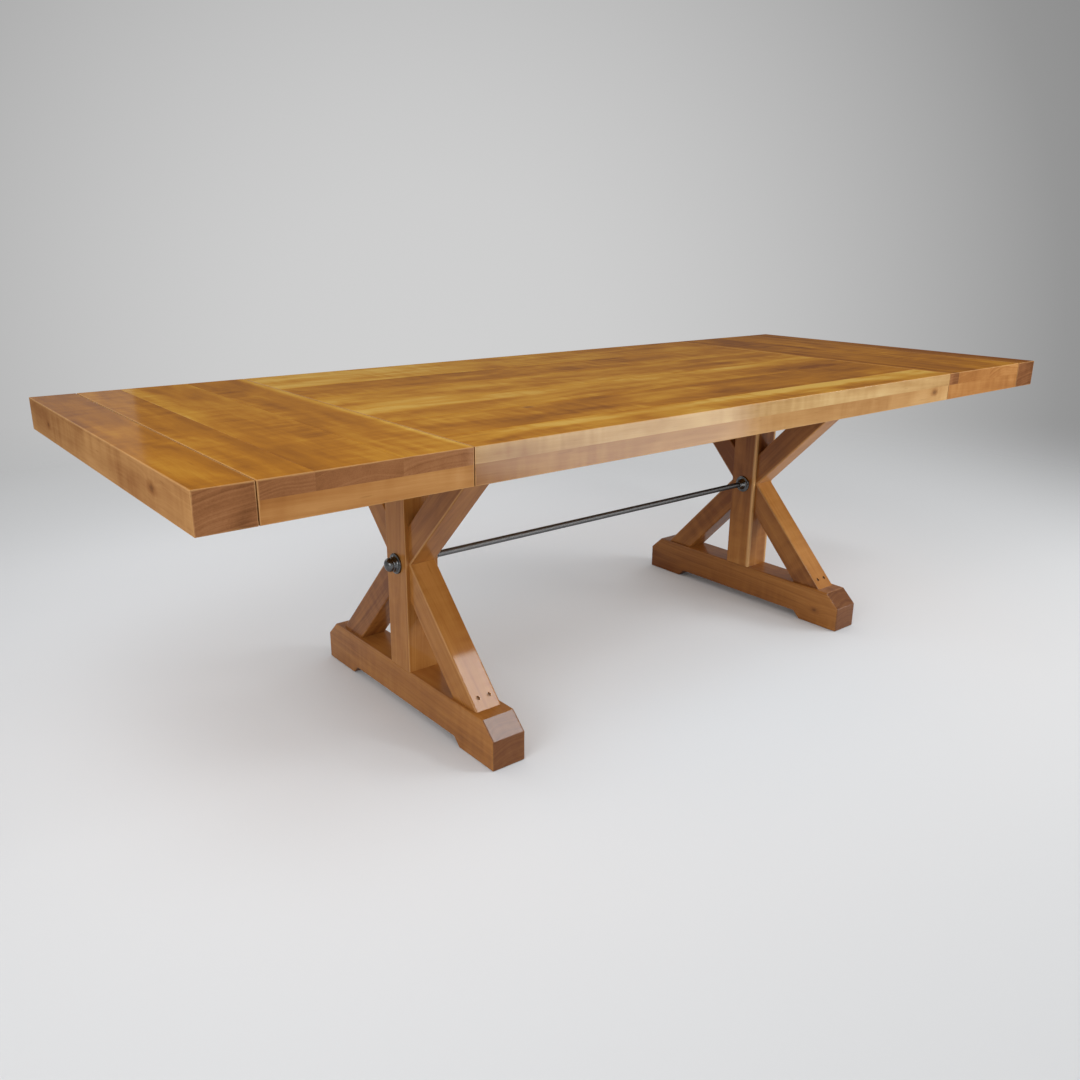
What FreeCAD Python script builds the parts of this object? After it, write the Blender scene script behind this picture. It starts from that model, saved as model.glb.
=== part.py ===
"""A sawbuck trestle table with a planked top, two drop-in leaves and two pull-out end boards.

X runs along the table, Y across it from the front edge to the back edge, and Z up.
The origin is on the floor under the middle of the top.
"""
import FreeCAD, Part
import math
import os

# The whole table, in millimetres
table_height = 762.0
table_width = 1030.0
main_length = 1600.0
leaf_length = 396.0
end_board_width = 98.0
seam_gap = 2.0

# The layers of the top: planks above, a frame of strips below that makes the edge look thick
plank_thickness = 32.0
build_up_height = 40.0
edge_strip_width = 70.0
end_strip_width = 70.0
leaf_batten_width = 60.0
edge_ease = 1.2
main_plank_shares = (0.106, 0.175, 0.163, 0.175, 0.169, 0.212)
left_leaf_plank_shares = (0.36, 0.40, 0.24)
right_leaf_plank_shares = (0.12, 0.45, 0.43)

# The members that cross the underside between the two runner channels
header_width = 130.0
batten_width = 60.0
batten_offset = 505.0

# The runners that carry a leaf and a pull-out end
runner_width = 49.0
runner_side_clearance = 0.5
runner_lift_clearance = 0.3
tenon_shoulder = 10.0
mortise_back_wall = 39.0
end_travel = 60.0
stop_clearance = 0.5
peg_radius = 6.0
peg_end_margin = 18.0

# The steel straps under the runners
strap_width = 30.0
strap_thickness = 4.0
strap_overlap = 30.0
strap_screw_inset = 14.0

# The trestles
trestle_offset = 628.0
foot_length = 766.0
foot_width = 88.0
foot_height = 110.0
foot_chamfer_run = 42.0
foot_chamfer_drop = 39.0
foot_pad_length = 133.0
foot_relief = 20.0
foot_ease = 4.0
post_thickness = 88.0
post_width = 86.0
post_tenon_thickness = 40.0
post_tenon_width = 50.0
post_tenon_length = 50.0
brace_thickness = 69.0
brace_depth = 69.0
brace_waist_flat = 5.0
brace_waist_height = 384.0
brace_toe_setback = 33.0
brace_head_setback = 48.0

# The tie rod and its fittings
rod_height = 377.0
rod_radius = 8.0
rod_bore_clearance = 0.5
fitting_clearance = 0.15
washer_radius = 25.0
washer_thickness = 6.0
washer_bevel = 2.0
nut_radius = 17.0
nut_length = 15.0
nut_dome_height = 9.0
nut_wall = 5.0
collar_flange_thickness = 5.0
collar_cone_radius = 15.0
collar_length = 24.0
collar_nose_radius = 12.0

# The screws
screw_clearance = 0.2
screw_recess = 1.0
top_screw_head_radius = 7.0
top_screw_head_height = 4.0
top_screw_radius = 3.5
top_screw_bite = 18.0
edge_screw_count = 5
edge_screw_margin = 103.0
header_screw_inset = 12.0
strap_screw_head_radius = 5.0
strap_screw_head_height = 3.0
strap_screw_radius = 2.5
strap_screw_bite = 24.0
runner_screw_bite = 26.0
brace_screw_head_radius = 4.5
brace_screw_head_height = 4.0
brace_screw_radius = 2.5
brace_screw_recess = 3.0
brace_screw_setback = 30.0
brace_screw_spacing = 30.0
brace_screw_tip_cover = 9.0

# How far a cutting tool runs past the face it opens, and how near two places count as one
overrun = 1.0
same_place = 1e-6

# Places that follow from the sizes
plank_bottom = table_height - plank_thickness
top_bottom = plank_bottom - build_up_height
half_width = table_width / 2
half_main = main_length / 2
strip_inside = half_width - edge_strip_width
channel_width = runner_width + 2 * runner_side_clearance
cross_half = strip_inside - channel_width
runner_inside = cross_half + runner_side_clearance
runner_outside = runner_inside + runner_width
runner_line = (runner_inside + runner_outside) / 2
runner_bottom = top_bottom + runner_lift_clearance
runner_top = plank_bottom - runner_lift_clearance
leaf_start = half_main + seam_gap
leaf_stop = leaf_start + leaf_length
end_start = leaf_stop + seam_gap
end_stop = end_start + end_board_width
end_strip_start = half_main - end_strip_width
tenon_length = end_board_width - mortise_back_wall
tenon_bottom = runner_bottom + tenon_shoulder
tenon_top = runner_top - tenon_shoulder
batten_strap_start = batten_offset - strap_width / 2
end_strap_centre = half_main - end_strip_width / 2
peg_place = batten_strap_start - end_travel - stop_clearance - peg_radius
runner_start = peg_place - peg_end_margin
post_face = post_thickness / 2

FRONT, BACK = -1, 1
LEFT, RIGHT = -1, 1
SIDE_NAMES = {LEFT: "left", RIGHT: "right"}
DEPTH_NAMES = {FRONT: "front", BACK: "back"}
LENGTHWISE = FreeCAD.Vector(1, 0, 0)
ACROSS = FreeCAD.Vector(0, 1, 0)
UPRIGHT = FreeCAD.Vector(0, 0, 1)
ORIGIN = FreeCAD.Vector(0, 0, 0)


def lies_on(edge, axis, value):
    """Whether an edge lies in the plane where the axis has this value."""
    return all(abs(getattr(end.Point, axis) - value) < same_place for end in edge.Vertexes)


def block(x, y, z, rims=(), corners=()):
    """A board between two limits on each axis.

    The edges round each face in rims are eased, and so is the edge shared by each pair of faces in corners.
    """
    low = FreeCAD.Vector(x[0], y[0], z[0])
    shape = Part.makeBox(x[1] - x[0], y[1] - y[0], z[1] - z[0], low)
    faces = {"x-": ("x", x[0]), "x+": ("x", x[1]), "y-": ("y", y[0]),
             "y+": ("y", y[1]), "z-": ("z", z[0]), "z+": ("z", z[1])}
    chosen = []
    for edge in shape.Edges:
        on_rim = any(lies_on(edge, *faces[name]) for name in rims)
        on_corner = any(lies_on(edge, *faces[a]) and lies_on(edge, *faces[b]) for a, b in corners)
        if on_rim or on_corner:
            chosen.append(edge)
    return shape.makeFillet(edge_ease, chosen) if chosen else shape


def depth_limits(inside, outside, depth):
    """The Y limits of a piece that lies between two distances from the middle, in front or behind."""
    return tuple(sorted((depth * inside, depth * outside)))


def to_side(shape, side):
    """A piece modelled at the right end, or its mirror image at the left end."""
    return shape if side == RIGHT else shape.mirror(ORIGIN, LENGTHWISE)


def to_depth(shape, depth):
    """A piece modelled behind the middle, or its mirror image in front of it."""
    return shape if depth == BACK else shape.mirror(ORIGIN, ACROSS)


def to_trestle(shape, side):
    """A piece modelled in the middle of the table, moved to one of the trestles."""
    return shape.translated(LENGTHWISE * (side * trestle_offset))


def split(low, high, shares):
    """The limits of the pieces that divide a width by the given shares."""
    limits = [low]
    for share in shares:
        limits.append(limits[-1] + share * (high - low) / sum(shares))
    return list(zip(limits[:-1], limits[1:]))


def stepped_pin(point, direction, steps):
    """Cylinders end to end along a direction, each given by its radius and length."""
    shape = None
    for radius, length in steps:
        step = Part.makeCylinder(radius, length, point, direction)
        shape = step if shape is None else shape.fuse(step)
        point = point + direction * length
    return shape.removeSplitter()


def screw_and_room(point, direction, head, shank, recess):
    """A screw whose head lies recess below a face, and the room that the wood leaves for it.

    The point is on the face and the direction goes into the wood. The head and the shank are each
    a radius and a length.
    """
    screw = stepped_pin(point + direction * recess, direction, (head, shank))
    mouth = (head[0] + screw_clearance, overrun + recess + head[1])
    shaft = (shank[0] + screw_clearance, shank[1] + screw_clearance)
    room = stepped_pin(point - direction * overrun, direction, (mouth, shaft))
    return screw, room


def without(shape, rooms):
    """A piece with the given rooms cut out of it."""
    for room in rooms:
        if shape.BoundBox.intersect(room.BoundBox):
            shape = shape.cut(room)
    return shape


# Screws that hold the planks down on the strips, headers and battens


def main_plank_limits():
    """The Y limits of the planks of the main top, from the front to the back."""
    return split(-half_width, half_width, main_plank_shares)


def top_screw_places():
    """Where the screws go up into the planks: along each edge strip, and through each cross member."""
    places = []
    first = -half_main + edge_screw_margin
    pitch = -2 * first / (edge_screw_count - 1)
    for depth in (FRONT, BACK):
        line = depth * (half_width - edge_strip_width / 2)
        places += [(first + i * pitch, line) for i in range(edge_screw_count)]
    header_screw_out = header_width / 2 - header_screw_inset
    rows = [end_strap_centre, batten_offset,
            trestle_offset - header_screw_out, trestle_offset + header_screw_out]
    for low, high in main_plank_limits()[1:-1]:
        places += [(side * row, (low + high) / 2) for row in rows for side in (LEFT, RIGHT)]
    return places


def make_top_screws():
    """The screws of the main top and their rooms."""
    head = (top_screw_head_radius, top_screw_head_height)
    length = build_up_height + top_screw_bite - screw_recess - top_screw_head_height
    pairs = [screw_and_room(FreeCAD.Vector(x, y, top_bottom), UPRIGHT, head,
                            (top_screw_radius, length), screw_recess)
             for x, y in top_screw_places()]
    return [screw for screw, _ in pairs], [room for _, room in pairs]


def strap_screw_places():
    """Where the two screws of each strap go, at the right end."""
    inner = cross_half - strap_screw_inset
    outer = strip_inside + strap_screw_inset
    return [(x, depth * y) for x in (batten_offset, end_strap_centre)
            for depth in (FRONT, BACK) for y in (inner, outer)]


def make_strap_screws():
    """The screws of all the straps and their rooms."""
    screws, rooms = [], []
    head = (strap_screw_head_radius, strap_screw_head_height)
    shank = (strap_screw_radius, strap_thickness + strap_screw_bite)
    for x, y in strap_screw_places():
        point = FreeCAD.Vector(x, y, top_bottom - strap_thickness - strap_screw_head_height)
        screw, room = screw_and_room(point, UPRIGHT, head, shank, 0)
        screws += [to_side(screw, side) for side in (LEFT, RIGHT)]
        rooms += [to_side(room, side) for side in (LEFT, RIGHT)]
    return screws, rooms


# The main top


def make_main_planks(rooms):
    """The long planks of the main top, each with its top edges eased."""
    planks = {}
    for i, limits in enumerate(main_plank_limits(), 1):
        plank = block((-half_main, half_main), limits, (plank_bottom, table_height), rims=("z+",))
        planks[f"main_plank_{i}"] = without(plank, rooms)
    return planks


def make_main_strips(rooms):
    """The strips under the edge of the main top, and the battens between them."""
    level = (top_bottom, plank_bottom)
    strips = {}
    for depth in (FRONT, BACK):
        face = "y-" if depth == FRONT else "y+"
        strip = block((-half_main, half_main), depth_limits(strip_inside, half_width, depth), level,
                      corners=((face, "z-"), (face, "x-"), (face, "x+")))
        strips[f"{DEPTH_NAMES[depth]}_edge_strip"] = without(strip, rooms)
    for side in (LEFT, RIGHT):
        end_strip = block((end_strip_start, half_main), (-cross_half, cross_half), level,
                          corners=(("x+", "z-"),))
        batten_limits = (batten_offset - batten_width / 2, batten_offset + batten_width / 2)
        batten = block(batten_limits, (-cross_half, cross_half), level)
        strips[f"{SIDE_NAMES[side]}_end_strip"] = without(to_side(end_strip, side), rooms)
        strips[f"{SIDE_NAMES[side]}_batten"] = without(to_side(batten, side), rooms)
    return strips


def make_straps(rooms):
    """The steel straps that hold the runners up, four under each end of the main top."""
    straps = {}
    level = (top_bottom - strap_thickness, top_bottom)
    for side in (LEFT, RIGHT):
        group = []
        for centre in (batten_offset, end_strap_centre):
            for depth in (FRONT, BACK):
                across = depth_limits(cross_half - strap_overlap, strip_inside + strap_overlap, depth)
                strap = block((centre - strap_width / 2, centre + strap_width / 2), across, level)
                group.append(without(to_side(strap, side), rooms))
        straps[f"{SIDE_NAMES[side]}_runner_straps"] = Part.makeCompound(group)
    return straps


# The drop-in leaves


def make_leaf(side, shares):
    """A leaf: planks that run across the table on two edge strips and a middle batten."""
    name = f"{SIDE_NAMES[side]}_leaf"
    pieces = {}
    limits = split(leaf_start, leaf_stop, shares)
    for i, (start, stop) in enumerate(limits, 1):
        corners = []
        if i == 1:
            corners += [("x-", "y-"), ("x-", "y+")]
        if i == len(limits):
            corners += [("x+", "y-"), ("x+", "y+")]
        plank = block((start, stop), (-half_width, half_width), (plank_bottom, table_height),
                      rims=("z+",), corners=corners)
        pieces[f"{name}_plank_{i}"] = to_side(plank, side)
    level = (top_bottom, plank_bottom)
    for depth in (FRONT, BACK):
        face = "y-" if depth == FRONT else "y+"
        strip = block((leaf_start, leaf_stop), depth_limits(strip_inside, half_width, depth), level,
                      corners=((face, "z-"), (face, "x-"), (face, "x+")))
        pieces[f"{name}_{DEPTH_NAMES[depth]}_strip"] = to_side(strip, side)
    batten = block((leaf_start, leaf_stop), (-leaf_batten_width / 2, leaf_batten_width / 2), level)
    pieces[f"{name}_batten"] = to_side(batten, side)
    return pieces


# The pull-out ends


def make_runner(depth):
    """A runner with a tenon at its outer end and a bore for the stop peg near its inner end."""
    across = depth_limits(runner_inside, runner_outside, depth)
    bar = block((runner_start, end_start), across, (runner_bottom, runner_top))
    tenon = block((end_start, end_start + tenon_length), across, (tenon_bottom, tenon_top))
    bore = Part.makeCylinder(peg_radius + fitting_clearance, build_up_height,
                             FreeCAD.Vector(peg_place, depth * runner_line, top_bottom))
    return bar.fuse(tenon).removeSplitter().cut(bore)


def make_end(side):
    """A pull-out end: the board, the board glued under it, two runners, their screws and stop pegs."""
    name = SIDE_NAMES[side]
    outside = (("x+", "y-"), ("x+", "y+"), ("x-", "y-"), ("x-", "y+"))
    along = (end_start, end_stop)
    across = (-half_width, half_width)
    board = block(along, across, (plank_bottom, table_height), rims=("z+",), corners=outside)
    under_board = block(along, across, (top_bottom, plank_bottom), rims=("z-",), corners=outside)
    screws, rooms, pegs, runners = [], [], [], {}
    head = (top_screw_head_radius, top_screw_head_height)
    for depth in (FRONT, BACK):
        place = FreeCAD.Vector(end_start + tenon_length / 2, depth * runner_line, top_bottom)
        shank = (top_screw_radius, runner_screw_bite - top_screw_head_height)
        screw, room = screw_and_room(place, UPRIGHT, head, shank, screw_recess)
        screws.append(to_side(screw, side))
        rooms.append(room)
        peg_bottom = FreeCAD.Vector(peg_place, depth * runner_line, top_bottom - strap_thickness)
        peg = Part.makeCylinder(peg_radius, runner_top - peg_bottom.z, peg_bottom)
        pegs.append(to_side(peg, side))
        runner = make_runner(depth)
        mortise = block((end_start - overrun, end_start + tenon_length),
                        depth_limits(runner_inside, runner_outside, depth), (tenon_bottom, tenon_top))
        under_board = under_board.cut(mortise)
        runners[f"{name}_{DEPTH_NAMES[depth]}_runner"] = to_side(without(runner, [room]), side)
    return {f"{name}_end_board": to_side(board, side),
            f"{name}_end_under_board": to_side(without(under_board, rooms), side),
            **runners,
            f"{name}_runner_screws": Part.makeCompound(screws),
            f"{name}_stop_pegs": Part.makeCompound(pegs)}


# The trestles


def make_outline(points, thickness):
    """A plate of the given thickness about the middle of the trestle, from its outline in Y and Z."""
    corners = [FreeCAD.Vector(-thickness / 2, y, z) for y, z in points]
    face = Part.Face(Part.makePolygon(corners + corners[:1]))
    return face.extrude(LENGTHWISE * thickness)


def make_foot():
    """The foot: a beam across the table with chamfered ends and a relief between its two pads."""
    half = foot_length / 2
    pad_end = half - foot_pad_length
    side = [(half - foot_chamfer_run, foot_height), (half, foot_height - foot_chamfer_drop), (half, 0),
            (pad_end, 0), (pad_end - foot_relief, foot_relief)]
    outline = side + [(-y, z) for y, z in reversed(side)]
    beam = make_outline(outline, foot_width)
    beam = beam.makeFillet(foot_ease, beam.Edges)
    mortise = block((-post_tenon_thickness / 2, post_tenon_thickness / 2),
                    (-post_tenon_width / 2, post_tenon_width / 2),
                    (foot_height - post_tenon_length, foot_height + overrun))
    return beam.cut(mortise)


def make_post():
    """The post, with a tenon into the foot, a tenon through the header and a bore for the tie rod."""
    thick = (-post_thickness / 2, post_thickness / 2)
    wide = (-post_width / 2, post_width / 2)
    arrises = [(a, b) for a in ("x-", "x+") for b in ("y-", "y+")]
    shaft = block(thick, wide, (foot_height, top_bottom), corners=arrises)
    tenons = block((-post_tenon_thickness / 2, post_tenon_thickness / 2),
                   (-post_tenon_width / 2, post_tenon_width / 2),
                   (foot_height - post_tenon_length, plank_bottom))
    bore_start = FreeCAD.Vector(-post_thickness / 2 - overrun, 0, rod_height)
    bore = Part.makeCylinder(rod_radius + rod_bore_clearance, post_thickness + 2 * overrun,
                             bore_start, LENGTHWISE)
    return shaft.fuse(tenons).removeSplitter().cut(bore)


def make_header():
    """The header that joins the trestle to the top, mortised for the post's tenon."""
    beam = block((-header_width / 2, header_width / 2), (-cross_half, cross_half),
                 (top_bottom, plank_bottom))
    mortise = block((-post_tenon_thickness / 2, post_tenon_thickness / 2),
                    (-post_tenon_width / 2, post_tenon_width / 2),
                    (top_bottom - overrun, plank_bottom + overrun))
    return beam.cut(mortise)


def brace_lines(upper):
    """The outline of a brace behind the post, and its outer face's end, direction and inward normal.

    The outer face runs from the waist to the foot or to the header.
    """
    rise = 1 if upper else -1
    far_z = top_bottom if upper else foot_height
    far_y = cross_half - brace_head_setback if upper else foot_length / 2 - foot_chamfer_run - brace_toe_setback
    near_y = post_width / 2
    waist_y = near_y + brace_waist_flat
    slope = (far_z - brace_waist_height) / (far_y - waist_y)
    offset = rise * brace_depth * math.hypot(1, slope)
    inner_z = brace_waist_height + slope * (near_y - waist_y) + offset
    inner_y = waist_y + (far_z - offset - brace_waist_height) / slope
    outline = [(near_y, brace_waist_height), (waist_y, brace_waist_height), (far_y, far_z), (inner_y, far_z),
               (near_y, inner_z)]
    along = FreeCAD.Vector(0, 1, slope).normalize()
    inward = FreeCAD.Vector(0, -abs(slope), rise).normalize()
    return outline, FreeCAD.Vector(0, far_y, far_z), along, inward


def make_brace(upper):
    """A brace behind the post, with its long edges eased."""
    outline = brace_lines(upper)[0]
    shape = make_outline(outline, brace_thickness)
    cut_faces = (("y", post_width / 2), ("z", brace_waist_height), ("z", top_bottom if upper else foot_height))
    long_edges = [edge for edge in shape.Edges
                  if not any(lies_on(edge, *face) for face in cut_faces)]
    return shape.makeFillet(foot_ease, long_edges)


def make_brace_screws(upper):
    """The two screws through the end of a brace behind the post, and their rooms."""
    _, far_end, along, inward = brace_lines(upper)
    face_point = far_end - along * brace_screw_setback
    through = (far_end.z - face_point.z) / inward.z
    bite = (build_up_height - brace_screw_tip_cover) / abs(inward.z)
    head = (brace_screw_head_radius, brace_screw_head_height)
    shank = (brace_screw_radius, through + bite - brace_screw_recess - brace_screw_head_height)
    return [screw_and_room(face_point + LENGTHWISE * (side * brace_screw_spacing / 2), inward,
                           head, shank, brace_screw_recess) for side in (LEFT, RIGHT)]


def make_trestles(top_rooms):
    """Both trestles, piece by piece, and the screws of their braces."""
    pieces, screws, rooms = {}, [], []
    for upper in (True, False):
        for depth in (FRONT, BACK):
            for screw, room in make_brace_screws(upper):
                screws += [to_trestle(to_depth(screw, depth), side) for side in (LEFT, RIGHT)]
                rooms += [to_trestle(to_depth(room, depth), side) for side in (LEFT, RIGHT)]
    for side in (LEFT, RIGHT):
        name = SIDE_NAMES[side]
        pieces[f"{name}_foot"] = without(to_trestle(make_foot(), side), rooms)
        pieces[f"{name}_post"] = to_trestle(make_post(), side)
        pieces[f"{name}_header"] = without(to_trestle(make_header(), side), rooms + top_rooms)
        for upper in (True, False):
            level = "upper" if upper else "lower"
            for depth in (FRONT, BACK):
                brace = to_trestle(to_depth(make_brace(upper), depth), side)
                pieces[f"{name}_{level}_{DEPTH_NAMES[depth]}_brace"] = without(brace, rooms)
    pieces["brace_screws"] = Part.makeCompound(screws)
    return pieces


# The tie rod


def make_turning(profile):
    """A turned piece about the tie rod's line, from its outline of places along X and radii."""
    points = [FreeCAD.Vector(x, 0, rod_height + radius) for x, radius in profile]
    face = Part.Face(Part.makePolygon(points + points[:1]))
    return face.revolve(FreeCAD.Vector(0, 0, rod_height), LENGTHWISE)


def make_washer():
    """The flange washer on the outer face of the right post, bevelled on its outer rim."""
    seat = trestle_offset + post_face
    bore = rod_radius + fitting_clearance
    front = seat + washer_thickness
    return make_turning([(seat, bore), (seat, washer_radius), (front - washer_bevel, washer_radius),
                         (front, washer_radius - washer_bevel), (front, bore)])


def make_cap_nut():
    """The domed nut outside the right washer, with a blind bore over the end of the rod."""
    seat = trestle_offset + post_face + washer_thickness
    rim = seat + nut_length
    crown = rim + nut_dome_height
    bore = rod_radius + fitting_clearance
    top = rod_height
    sphere_radius = (nut_radius ** 2 + nut_dome_height ** 2) / (2 * nut_dome_height)
    turn = math.asin(nut_radius / sphere_radius) / 2
    middle = (crown - sphere_radius + sphere_radius * math.cos(turn), sphere_radius * math.sin(turn))
    bore_end = rim + nut_dome_height - nut_wall
    half_outline = ((crown, 0), (bore_end, 0), (bore_end, bore), (seat, bore), (seat, nut_radius), (rim, nut_radius))
    points = [FreeCAD.Vector(x, 0, top + radius) for x, radius in half_outline]
    edges = [Part.makeLine(a, b) for a, b in zip(points[:-1], points[1:])]
    dome_middle = FreeCAD.Vector(middle[0], 0, top + middle[1])
    edges.append(Part.Arc(points[-1], dome_middle, points[0]).toShape())
    face = Part.Face(Part.Wire(edges))
    return face.revolve(FreeCAD.Vector(0, 0, top), LENGTHWISE)


def make_collar():
    """The collar against the inner face of the right post: a flange that tapers to a nose on the rod."""
    seat = trestle_offset - post_face
    bore = rod_radius + fitting_clearance
    flange = seat - collar_flange_thickness
    nose = seat - collar_length
    return make_turning([(seat, bore), (seat, washer_radius), (flange + washer_bevel, washer_radius),
                         (flange, washer_radius - washer_bevel), (flange, collar_cone_radius),
                         (nose, collar_nose_radius), (nose, bore)])


def make_tie_rod():
    """The rod between the two trestles; each end stops inside its nut."""
    bore_end = trestle_offset + post_face + washer_thickness + nut_length + nut_dome_height - nut_wall
    half = bore_end - fitting_clearance
    return Part.makeCylinder(rod_radius, 2 * half, FreeCAD.Vector(-half, 0, rod_height), LENGTHWISE)


def make_rod_fittings():
    """The rod with its washers, nuts and collars, a pair of each."""
    def pair(shape):
        return Part.makeCompound([to_side(shape, side) for side in (LEFT, RIGHT)])
    return {"tie_rod": make_tie_rod(), "rod_washers": pair(make_washer()),
            "rod_cap_nuts": pair(make_cap_nut()), "rod_collars": pair(make_collar())}


def make_table():
    """Every piece of the table by name."""
    top_screws, top_rooms = make_top_screws()
    strap_screws, strap_rooms = make_strap_screws()
    rooms = top_rooms + strap_rooms
    pieces = {**make_main_planks(top_rooms), **make_main_strips(rooms), **make_straps(strap_rooms),
              **make_trestles(top_rooms), **make_rod_fittings()}
    pieces["top_screws"] = Part.makeCompound(top_screws)
    pieces["strap_screws"] = Part.makeCompound(strap_screws)
    for side, shares in ((LEFT, left_leaf_plank_shares), (RIGHT, right_leaf_plank_shares)):
        pieces.update(make_leaf(side, shares))
        pieces.update(make_end(side))
    return pieces


os.makedirs("parts", exist_ok=True)
for node, shape in make_table().items():
    shape.exportStep(f"parts/{node}.step")
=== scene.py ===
import math

import bpy
import numpy as np
from mathutils import Euler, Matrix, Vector


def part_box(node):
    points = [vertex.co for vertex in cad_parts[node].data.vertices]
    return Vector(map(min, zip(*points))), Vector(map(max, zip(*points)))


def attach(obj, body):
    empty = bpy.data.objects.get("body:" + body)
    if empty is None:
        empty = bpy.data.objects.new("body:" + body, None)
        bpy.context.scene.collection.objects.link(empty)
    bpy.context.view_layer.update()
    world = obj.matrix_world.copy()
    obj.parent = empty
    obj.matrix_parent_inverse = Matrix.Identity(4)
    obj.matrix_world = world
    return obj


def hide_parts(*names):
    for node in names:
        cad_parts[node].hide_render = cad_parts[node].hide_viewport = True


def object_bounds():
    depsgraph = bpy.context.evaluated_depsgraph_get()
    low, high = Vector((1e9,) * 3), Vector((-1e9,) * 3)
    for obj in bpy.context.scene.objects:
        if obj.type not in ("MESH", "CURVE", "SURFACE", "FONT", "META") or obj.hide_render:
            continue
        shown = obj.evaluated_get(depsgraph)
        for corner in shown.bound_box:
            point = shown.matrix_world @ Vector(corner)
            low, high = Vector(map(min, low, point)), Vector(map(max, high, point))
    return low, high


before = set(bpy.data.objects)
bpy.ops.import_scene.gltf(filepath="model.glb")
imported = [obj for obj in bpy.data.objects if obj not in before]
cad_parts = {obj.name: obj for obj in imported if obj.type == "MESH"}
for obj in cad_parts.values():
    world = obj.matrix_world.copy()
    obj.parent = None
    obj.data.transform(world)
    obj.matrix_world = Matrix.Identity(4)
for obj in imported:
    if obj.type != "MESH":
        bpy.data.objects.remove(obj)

cad_low, cad_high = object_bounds()

# The table's sides, and the sizes that the looks follow, in metres and read from the frame
LEFT, RIGHT = "left", "right"
SIDES = {LEFT: -1, RIGHT: 1}
TOP_Z = cad_high.z
ROD_LOW, ROD_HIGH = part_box("tie_rod")
ROD_Z = (ROD_LOW.z + ROD_HIGH.z) / 2
ROD_RADIUS = (ROD_HIGH.z - ROD_LOW.z) / 2
QUARTER = math.radians(90)


# Colours

def tint(red, green, blue):
    """A colour given as screen levels from 0 to 255, as the linear colour that a shader takes."""
    level = np.array([red, green, blue]) / 255
    linear = np.where(level <= 0.04045, level / 12.92, ((level + 0.055) / 1.055) ** 2.4)
    return (*linear.tolist(), 1.0)


# Each stain from its darkest streaks to its palest figure, and where in the figure its four colours stand
AMBER_TOP = (tint(122, 69, 13), tint(165, 106, 23), tint(186, 132, 39), tint(205, 163, 76))
PALE_EDGE = (tint(140, 96, 55), tint(172, 134, 84), tint(188, 153, 102), tint(203, 172, 122))
ROSE_EDGE = (tint(130, 83, 44), tint(159, 114, 66), tint(176, 133, 82), tint(192, 153, 101))
TAN_EDGE = (tint(129, 79, 38), tint(160, 109, 60), tint(177, 128, 76), tint(190, 145, 95))
END_SIDE = (tint(140, 92, 50), tint(173, 126, 76), tint(189, 143, 92), tint(201, 160, 110))
LEG_BROWN = (tint(114, 65, 28), tint(159, 104, 49), tint(178, 123, 63), tint(194, 142, 83))
# LEG_SHADE is LEG_BROWN darkened: painted shade for the side faces of the right trestle's front braces
LEG_SHADE = (tint(96, 53, 24), tint(122, 73, 34), tint(150, 97, 47), tint(176, 121, 62))
HIDDEN_TAN = (tint(132, 88, 50), tint(170, 124, 78), tint(188, 144, 96), tint(202, 162, 114))
END_GRAIN_TOP = (tint(98, 60, 34), tint(136, 90, 56), tint(151, 105, 69), tint(163, 119, 81))
END_GRAIN_LEG = (tint(79, 44, 22), tint(109, 66, 35), tint(124, 80, 45), tint(136, 92, 55))
STAIN_PLACES = (0.16, 0.46, 0.66, 0.90)
# The pale colour of an arris: partly wear, partly a painted highlight where the edge catches the light
WORN_EDGE_AND_HIGHLIGHT = tint(208, 162, 106)
KNOT_HEART, KNOT_WOOD = tint(84, 46, 22), tint(128, 78, 38)
FLECK = tint(96, 54, 22)
# The darker steel is painted shade, mixed into the rod towards the right post
BARE_STEEL, SHADED_STEEL = tint(170, 170, 167), tint(36, 36, 36)

# Grains to the metre of the patterns in the wood, along its grain, across it and through it
WANDER_GRAINS = (1.3, 6.0, 6.0)
FIBRE_GRAINS = (12.0, 900.0, 900.0)
FLECK_GRAINS = (16.0, 190.0, 190.0)
PATCH_GRAINS = (4.0, 11.0, 11.0)
MOTTLE_GRAINS = (20.0, 60.0, 60.0)
DRIFT_GRAINS = (1.2, 4.0, 4.0)
CURL_GRAINS = (48.0, 9.0, 9.0)
CURL_PLACE_GRAINS = (3.0, 7.0, 7.0)
PORE_GRAINS = (700.0, 700.0, 700.0)
KNOT_RIM_GRAINS = (110.0, 110.0, 110.0)
STREAK_GRAINS_ALONG = 1.6
RING_GRAINS = 170.0

# How far the pith line wanders and a knot pushes the rings aside, in metres, and the line's rise per metre
PITH_WANDER = 0.04
KNOT_PUSH = 0.014
PITH_RISE = 0.035

# Steps between two seeds' places in the noise
SEED_STEPS = (1.37, 2.71, 4.13)
RING_SEED_STEP = 3.3

# Height in metres of the relief that grain and the steel's browned mottle leave
RELIEF = 0.0004


# Materials, each a chain of node steps

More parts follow.
